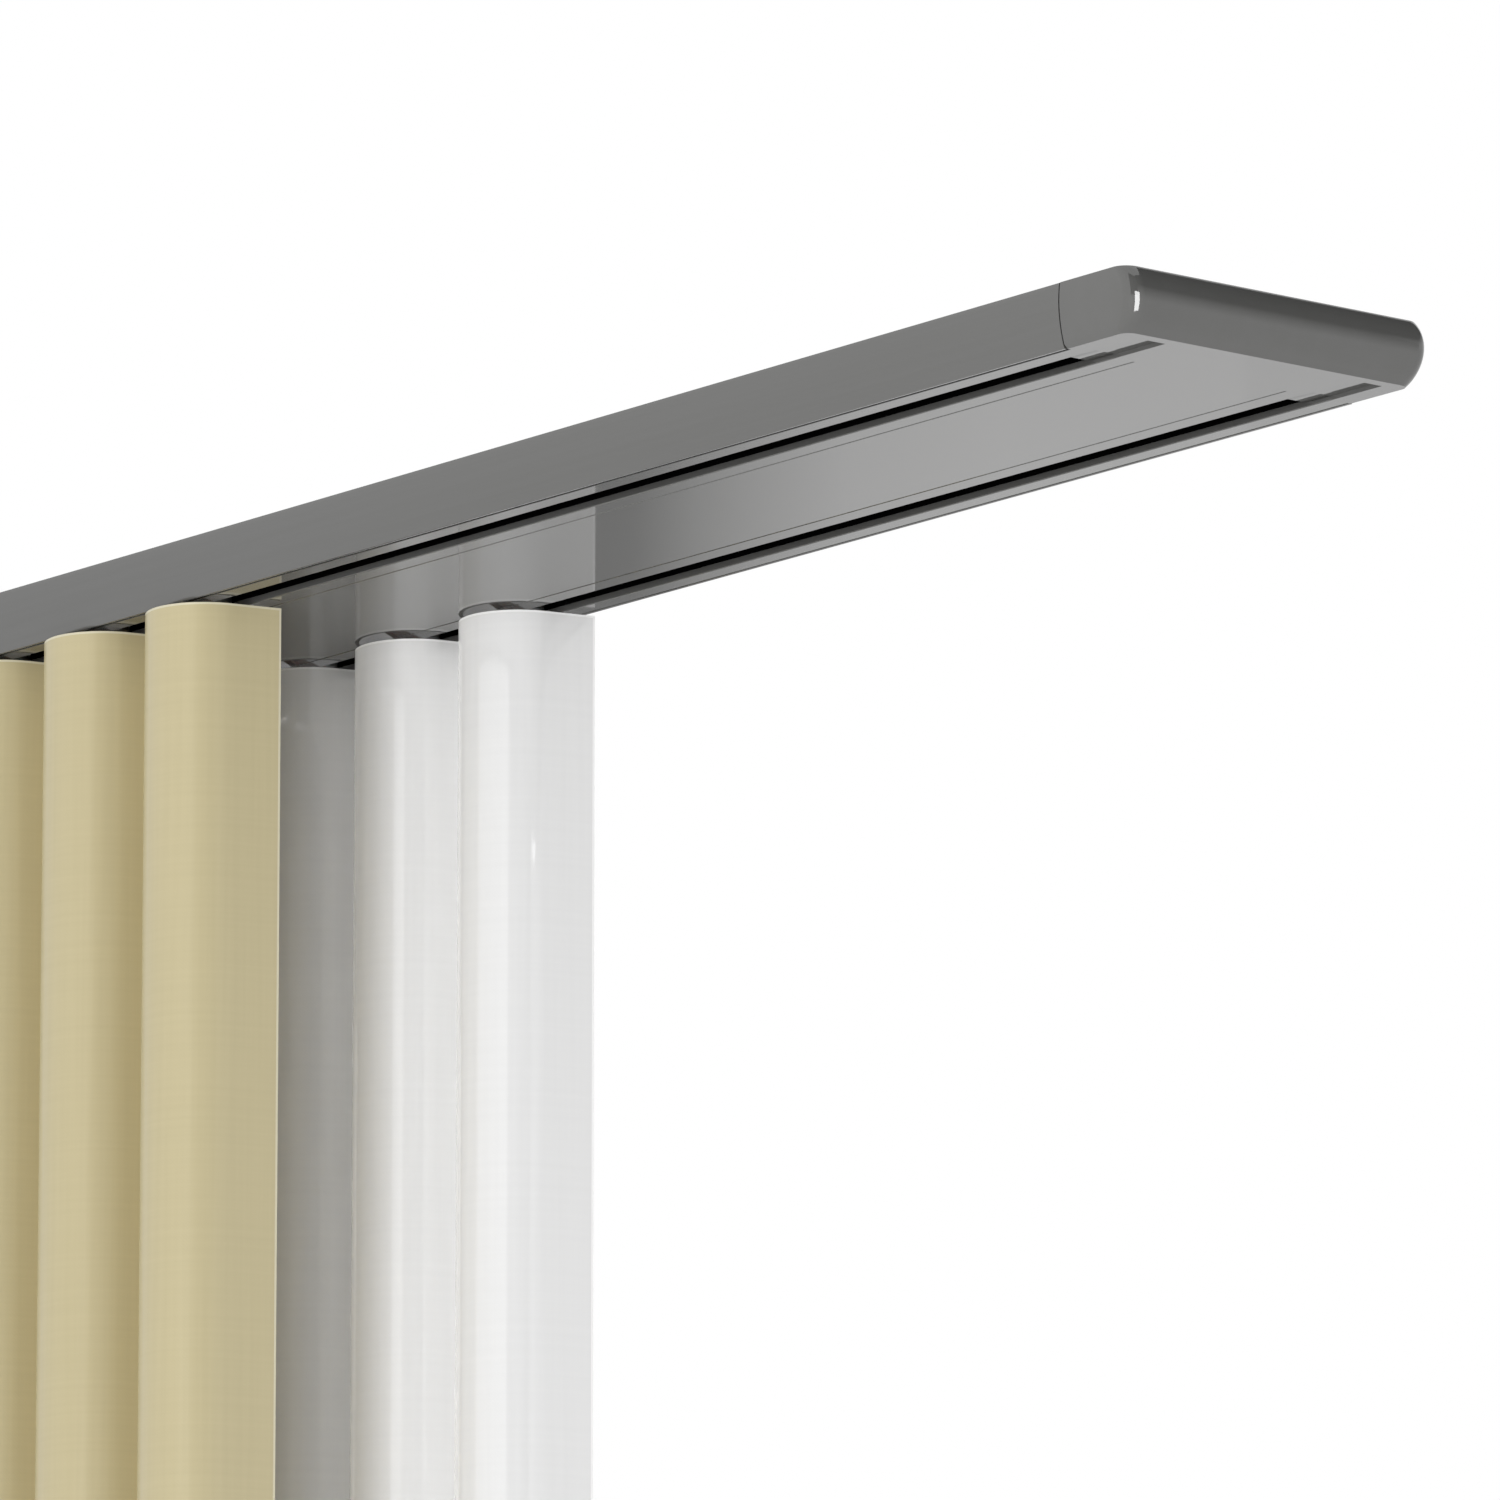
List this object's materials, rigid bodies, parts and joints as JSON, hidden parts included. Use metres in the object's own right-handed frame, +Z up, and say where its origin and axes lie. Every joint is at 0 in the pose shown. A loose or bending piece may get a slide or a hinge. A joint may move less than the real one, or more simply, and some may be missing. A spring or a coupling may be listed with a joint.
{
  "type": "curtain track",
  "caption": "Flat grey ceiling-mounted double curtain track with bull-nosed end caps and a curtain hung in even waves from sliding hook gliders in each run.",
  "frame": {"origin": "on the ceiling plane, midway between the two ceiling screws", "axes": "+X along the track towards the end that the curtains are drawn to, +Y towards the window, +Z up into the ceiling"},
  "size_m": [0.8096, 0.0843, 1.215],
  "materials": {
    "coated_aluminium": "satin grey coating",
    "grey_plastic": "gloss",
    "spring_steel": "zinc plated",
    "glider_plastic": "moulded",
    "beige_cloth": "fine plain weave",
    "white_cloth": "smooth fine weave"
  },
  "bodies": {
    "track": {"track_profile": "coated_aluminium", "front_cover": "coated_aluminium", "rear_cover": "coated_aluminium", "left_end_cap": "grey_plastic", "right_end_cap": "grey_plastic", "left_ceiling_clip": "spring_steel", "right_ceiling_clip": "spring_steel", "front_end_stop": "glider_plastic", "front_stop_screw": "spring_steel", "rear_end_stop": "glider_plastic", "rear_stop_screw": "spring_steel"},
    "front_lead": {"front_lead_glider": "glider_plastic", "front_curtain": "beige_cloth"},
    "front_glider_02": {"front_glider_02": "glider_plastic"},
    "front_glider_03": {"front_glider_03": "glider_plastic"},
    "front_glider_04": {"front_glider_04": "glider_plastic"},
    "front_glider_05": {"front_glider_05": "glider_plastic"},
    "front_glider_06": {"front_glider_06": "glider_plastic"},
    "front_glider_07": {"front_glider_07": "glider_plastic"},
    "front_glider_08": {"front_glider_08": "glider_plastic"},
    "front_glider_09": {"front_glider_09": "glider_plastic"},
    "front_glider_10": {"front_glider_10": "glider_plastic"},
    "rear_lead": {"rear_lead_glider": "glider_plastic", "rear_curtain": "white_cloth"},
    "rear_glider_02": {"rear_glider_02": "glider_plastic"},
    "rear_glider_03": {"rear_glider_03": "glider_plastic"},
    "rear_glider_04": {"rear_glider_04": "glider_plastic"},
    "rear_glider_05": {"rear_glider_05": "glider_plastic"},
    "rear_glider_06": {"rear_glider_06": "glider_plastic"},
    "rear_glider_07": {"rear_glider_07": "glider_plastic"},
    "rear_glider_08": {"rear_glider_08": "glider_plastic"},
    "rear_glider_09": {"rear_glider_09": "glider_plastic"},
    "rear_glider_10": {"rear_glider_10": "glider_plastic"},
    "rear_glider_11": {"rear_glider_11": "glider_plastic"}
  },
  "joints": [
    {"name": "front_draw", "type": "slide", "parent": "track", "child": "front_lead", "axis": [1, 0, 0], "range_m": [-0.188, 0.142], "deforming": ["front_curtain"]},
    {"name": "front_glider_02_slide", "type": "slide", "parent": "track", "child": "front_glider_02", "axis": [1, 0, 0], "range_m": [-0.18324, 0.13852]},
    {"name": "front_glider_03_slide", "type": "slide", "parent": "track", "child": "front_glider_03", "axis": [1, 0, 0], "range_m": [-0.16895, 0.12773]},
    {"name": "front_glider_04_slide", "type": "slide", "parent": "track", "child": "front_glider_04", "axis": [1, 0, 0], "range_m": [-0.14789, 0.11183]},
    {"name": "front_glider_05_slide", "type": "slide", "parent": "track", "child": "front_glider_05", "axis": [1, 0, 0], "range_m": [-0.12232, 0.09252]},
    {"name": "front_glider_06_slide", "type": "slide", "parent": "track", "child": "front_glider_06", "axis": [1, 0, 0], "range_m": [-0.0945, 0.0715]},
    {"name": "front_glider_07_slide", "type": "slide", "parent": "track", "child": "front_glider_07", "axis": [1, 0, 0], "range_m": [-0.06668, 0.05048]},
    {"name": "front_glider_08_slide", "type": "slide", "parent": "track", "child": "front_glider_08", "axis": [1, 0, 0], "range_m": [-0.04111, 0.03117]},
    {"name": "front_glider_09_slide", "type": "slide", "parent": "track", "child": "front_glider_09", "axis": [1, 0, 0], "range_m": [-0.02005, 0.01527]},
    {"name": "front_glider_10_slide", "type": "slide", "parent": "track", "child": "front_glider_10", "axis": [1, 0, 0], "range_m": [-0.00576, 0.00448]},
    {"name": "rear_draw", "type": "slide", "parent": "track", "child": "rear_lead", "axis": [1, 0, 0], "range_m": [-0.207, 0.156], "deforming": ["rear_curtain"]},
    {"name": "rear_glider_02_slide", "type": "slide", "parent": "track", "child": "rear_glider_02", "axis": [1, 0, 0], "range_m": [-0.20268, 0.15287]},
    {"name": "rear_glider_03_slide", "type": "slide", "parent": "track", "child": "rear_glider_03", "axis": [1, 0, 0], "range_m": [-0.18946, 0.1429]},
    {"name": "rear_glider_04_slide", "type": "slide", "parent": "track", "child": "rear_glider_04", "axis": [1, 0, 0], "range_m": [-0.16971, 0.12802]},
    {"name": "rear_glider_05_slide", "type": "slide", "parent": "track", "child": "rear_glider_05", "axis": [1, 0, 0], "range_m": [-0.14529, 0.10962]},
    {"name": "rear_glider_06_slide", "type": "slide", "parent": "track", "child": "rear_glider_06", "axis": [1, 0, 0], "range_m": [-0.11807, 0.08911]},
    {"name": "rear_glider_07_slide", "type": "slide", "parent": "track", "child": "rear_glider_07", "axis": [1, 0, 0], "range_m": [-0.08993, 0.06789]},
    {"name": "rear_glider_08_slide", "type": "slide", "parent": "track", "child": "rear_glider_08", "axis": [1, 0, 0], "range_m": [-0.06271, 0.04738]},
    {"name": "rear_glider_09_slide", "type": "slide", "parent": "track", "child": "rear_glider_09", "axis": [1, 0, 0], "range_m": [-0.03829, 0.02898]},
    {"name": "rear_glider_10_slide", "type": "slide", "parent": "track", "child": "rear_glider_10", "axis": [1, 0, 0], "range_m": [-0.01854, 0.0141]},
    {"name": "rear_glider_11_slide", "type": "slide", "parent": "track", "child": "rear_glider_11", "axis": [1, 0, 0], "range_m": [-0.00532, 0.00413]}
  ],
  "couplings": [
    {"joint": "front_glider_02_slide", "follows": "front_draw", "ratio": 0.972},
    {"joint": "front_glider_03_slide", "follows": "front_draw", "ratio": 0.896},
    {"joint": "front_glider_04_slide", "follows": "front_draw", "ratio": 0.784},
    {"joint": "front_glider_05_slide", "follows": "front_draw", "ratio": 0.648},
    {"joint": "front_glider_06_slide", "follows": "front_draw", "ratio": 0.5},
    {"joint": "front_glider_07_slide", "follows": "front_draw", "ratio": 0.352},
    {"joint": "front_glider_08_slide", "follows": "front_draw", "ratio": 0.216},
    {"joint": "front_glider_09_slide", "follows": "front_draw", "ratio": 0.104},
    {"joint": "front_glider_10_slide", "follows": "front_draw", "ratio": 0.028},
    {"joint": "rear_glider_02_slide", "follows": "rear_draw", "ratio": 0.97671},
    {"joint": "rear_glider_03_slide", "follows": "rear_draw", "ratio": 0.91285},
    {"joint": "rear_glider_04_slide", "follows": "rear_draw", "ratio": 0.81743},
    {"joint": "rear_glider_05_slide", "follows": "rear_draw", "ratio": 0.69947},
    {"joint": "rear_glider_06_slide", "follows": "rear_draw", "ratio": 0.56799},
    {"joint": "rear_glider_07_slide", "follows": "rear_draw", "ratio": 0.43201},
    {"joint": "rear_glider_08_slide", "follows": "rear_draw", "ratio": 0.30053},
    {"joint": "rear_glider_09_slide", "follows": "rear_draw", "ratio": 0.18257},
    {"joint": "rear_glider_10_slide", "follows": "rear_draw", "ratio": 0.087153},
    {"joint": "rear_glider_11_slide", "follows": "rear_draw", "ratio": 0.023291}
  ]
}
